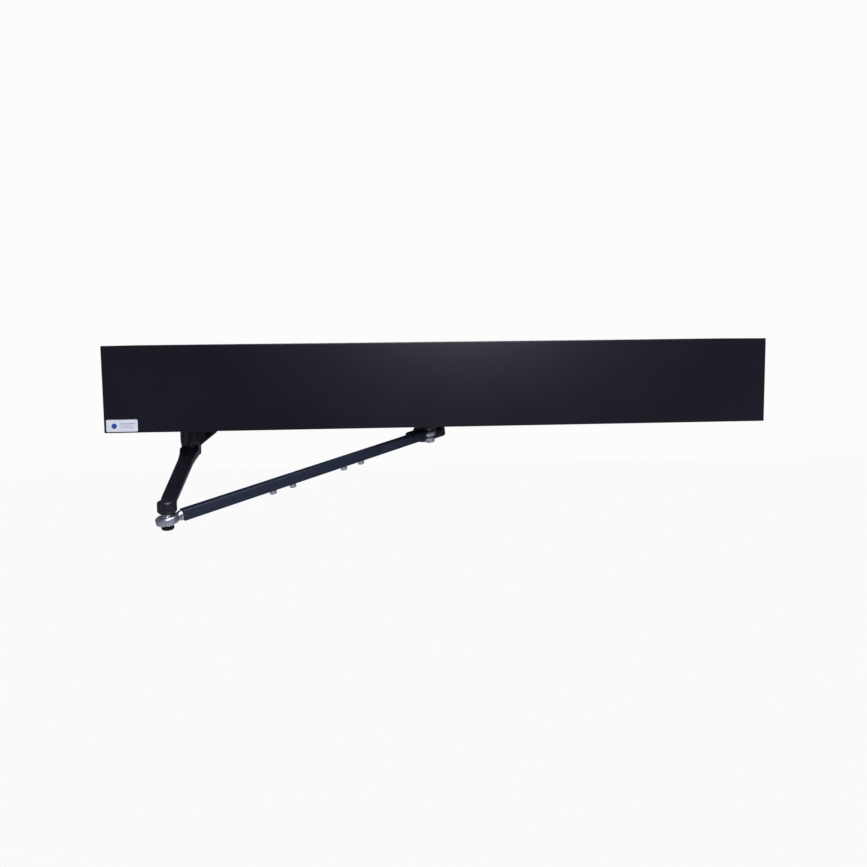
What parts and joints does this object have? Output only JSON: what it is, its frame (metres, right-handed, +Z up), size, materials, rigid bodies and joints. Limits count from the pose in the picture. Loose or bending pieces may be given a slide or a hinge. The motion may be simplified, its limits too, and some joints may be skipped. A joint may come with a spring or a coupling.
{
  "type": "automatic swing door operator",
  "caption": "Long black powered door closer box with a forged main arm, a telescopic square rod with ball joints at both ends and a door shoe.",
  "frame": {"origin": "centre of the back plate's wall face", "axes": "+X to the right along the box, +Y into the wall, +Z up"},
  "size_m": [0.9144, 0.3041, 0.2078],
  "materials": {
    "black_anodised": "black anodised, satin",
    "heat_sink_black": "black anodised, matt",
    "galvanised": "zinc plated sheet",
    "cap_black": "moulded black, fine grain",
    "label_silver": "satin silver foil label",
    "rocker_red": "moulded red, satin",
    "cast_frame": "die cast, as cast",
    "plain_steel": "turned and hobbed, oiled",
    "bronze": "sintered bronze, turned brass",
    "black_steel": "black oxide, oiled",
    "board_green": "glass-fibre laminate with solder mask",
    "terminal_green": "moulded green",
    "relay_black": "moulded black",
    "winding_tape": "lacquered copper winding under yellow film tape",
    "black_enamel": "baked black enamel, satin",
    "zinc_steel": "bright zinc plated"
  },
  "bodies": {
    "housing": {"back_plate": "galvanised", "end_cap_left": "cap_black", "end_cap_right": "cap_black", "switch_bezel": "cap_black", "knockout_plug": "cap_black", "gearbox_base": "cast_frame", "gearbox_top": "cast_frame", "gearbox_post_1": "plain_steel", "gearbox_post_2": "plain_steel", "gearbox_post_3": "plain_steel", "gearbox_post_4": "plain_steel", "spindle_bearing_lower": "bronze", "spindle_bearing_upper": "bronze", "motor_can": "black_steel", "motor_encoder": "cap_black", "spring_tube": "cast_frame", "spring_tube_plug": "cast_frame", "spring_tube_saddle": "cast_frame", "closing_spring": "black_steel", "control_board": "board_green", "board_standoff_1": "bronze", "board_standoff_2": "bronze", "board_standoff_3": "bronze", "board_standoff_4": "bronze", "terminal_strip": "terminal_green", "relay": "relay_black", "reservoir_capacitor": "relay_black", "heat_sink": "heat_sink_black", "transformer": "winding_tape", "transformer_washer": "galvanised", "transformer_bolt": "zinc_steel"},
    "cover_shell": {"cover": "black_anodised", "label_plate": "label_silver"},
    "rocker": {"switch_rocker": "rocker_red"},
    "arm": {"spindle": "plain_steel", "output_gear": "plain_steel", "spring_pinion": "plain_steel", "main_arm": "black_enamel", "spindle_bolt": "black_steel", "pinch_bolt": "black_steel", "elbow_screw": "black_steel"},
    "intermediate": {"intermediate_gear": "plain_steel"},
    "rotor": {"motor_shaft": "plain_steel"},
    "plunger": {"rack_plunger": "plain_steel"},
    "elbow": {"elbow_ball": "zinc_steel"},
    "rod": {"elbow_rod_end": "zinc_steel", "rod_channel": "black_enamel"},
    "rod_tip": {"rod_bar": "black_enamel", "clamp_screw_1": "zinc_steel", "clamp_screw_2": "zinc_steel", "clamp_screw_3": "zinc_steel", "clamp_screw_4": "zinc_steel", "shoe_rod_end": "zinc_steel"},
    "shoe_joint": {"shoe_ball": "zinc_steel"},
    "shoe": {"door_shoe": "black_enamel", "shoe_pivot_screw": "zinc_steel", "shoe_screw_1": "black_steel", "shoe_screw_2": "black_steel"}
  },
  "joints": [
    {"name": "cover_pull", "type": "slide", "parent": "housing", "child": "cover_shell", "axis": [0, -1, 0], "range_m": [0, 0.16]},
    {"name": "rocker_tilt", "type": "hinge", "parent": "housing", "child": "rocker", "pos_m": [0.4512, -0.082, 0], "axis": [0, 1, 0], "range_deg": [-8, 8]},
    {"name": "arm_swing", "type": "hinge", "parent": "housing", "child": "arm", "pos_m": [-0.3607, -0.07, 0], "axis": [0, 0, 1], "range_deg": [-30, 105]},
    {"name": "intermediate_spin", "type": "hinge", "parent": "housing", "child": "intermediate", "pos_m": [-0.3097, -0.07, 0], "axis": [0, 0, 1], "range_deg": [-312, 92]},
    {"name": "rotor_spin", "type": "hinge", "parent": "housing", "child": "rotor", "pos_m": [-0.2687, -0.07, 0], "axis": [0, 0, 1], "range_deg": [-195, 670]},
    {"name": "plunger_slide", "type": "slide", "parent": "housing", "child": "plunger", "axis": [1, 0, 0], "range_m": [-0.027, 0.009], "deforming": ["closing_spring"]},
    {"name": "elbow_swing", "type": "hinge", "parent": "arm", "child": "elbow", "pos_m": [-0.3245, -0.29106, -0.1373], "axis": [0, 0, 1], "range_deg": [-120, 25]},
    {"name": "elbow_tilt", "type": "hinge", "parent": "elbow", "child": "rod", "pos_m": [-0.3245, -0.29106, -0.1373], "axis": [-0.599, 0.8007, 0], "range_deg": [0, 14]},
    {"name": "rod_extend", "type": "slide", "parent": "rod", "child": "rod_tip", "axis": [0.7909, 0.5916, 0.1564], "range_m": [0, 0.02]},
    {"name": "shoe_tilt", "type": "hinge", "parent": "rod_tip", "child": "shoe_joint", "pos_m": [-0.01606, -0.06031, -0.07629], "axis": [-0.599, 0.8007, 0], "range_deg": [0, 11]},
    {"name": "shoe_swing", "type": "hinge", "parent": "shoe_joint", "child": "shoe", "pos_m": [-0.01606, -0.06031, -0.07629], "axis": [-0.1253, -0.0937, 0.9877], "range_deg": [-110, 8]}
  ],
  "couplings": [
    {"joint": "intermediate_spin", "follows": "arm_swing", "ratio": -2.9231},
    {"joint": "rotor_spin", "follows": "arm_swing", "ratio": 6.2959},
    {"joint": "plunger_slide", "follows": "arm_swing", "m_per_rad": -0.014}
  ]
}
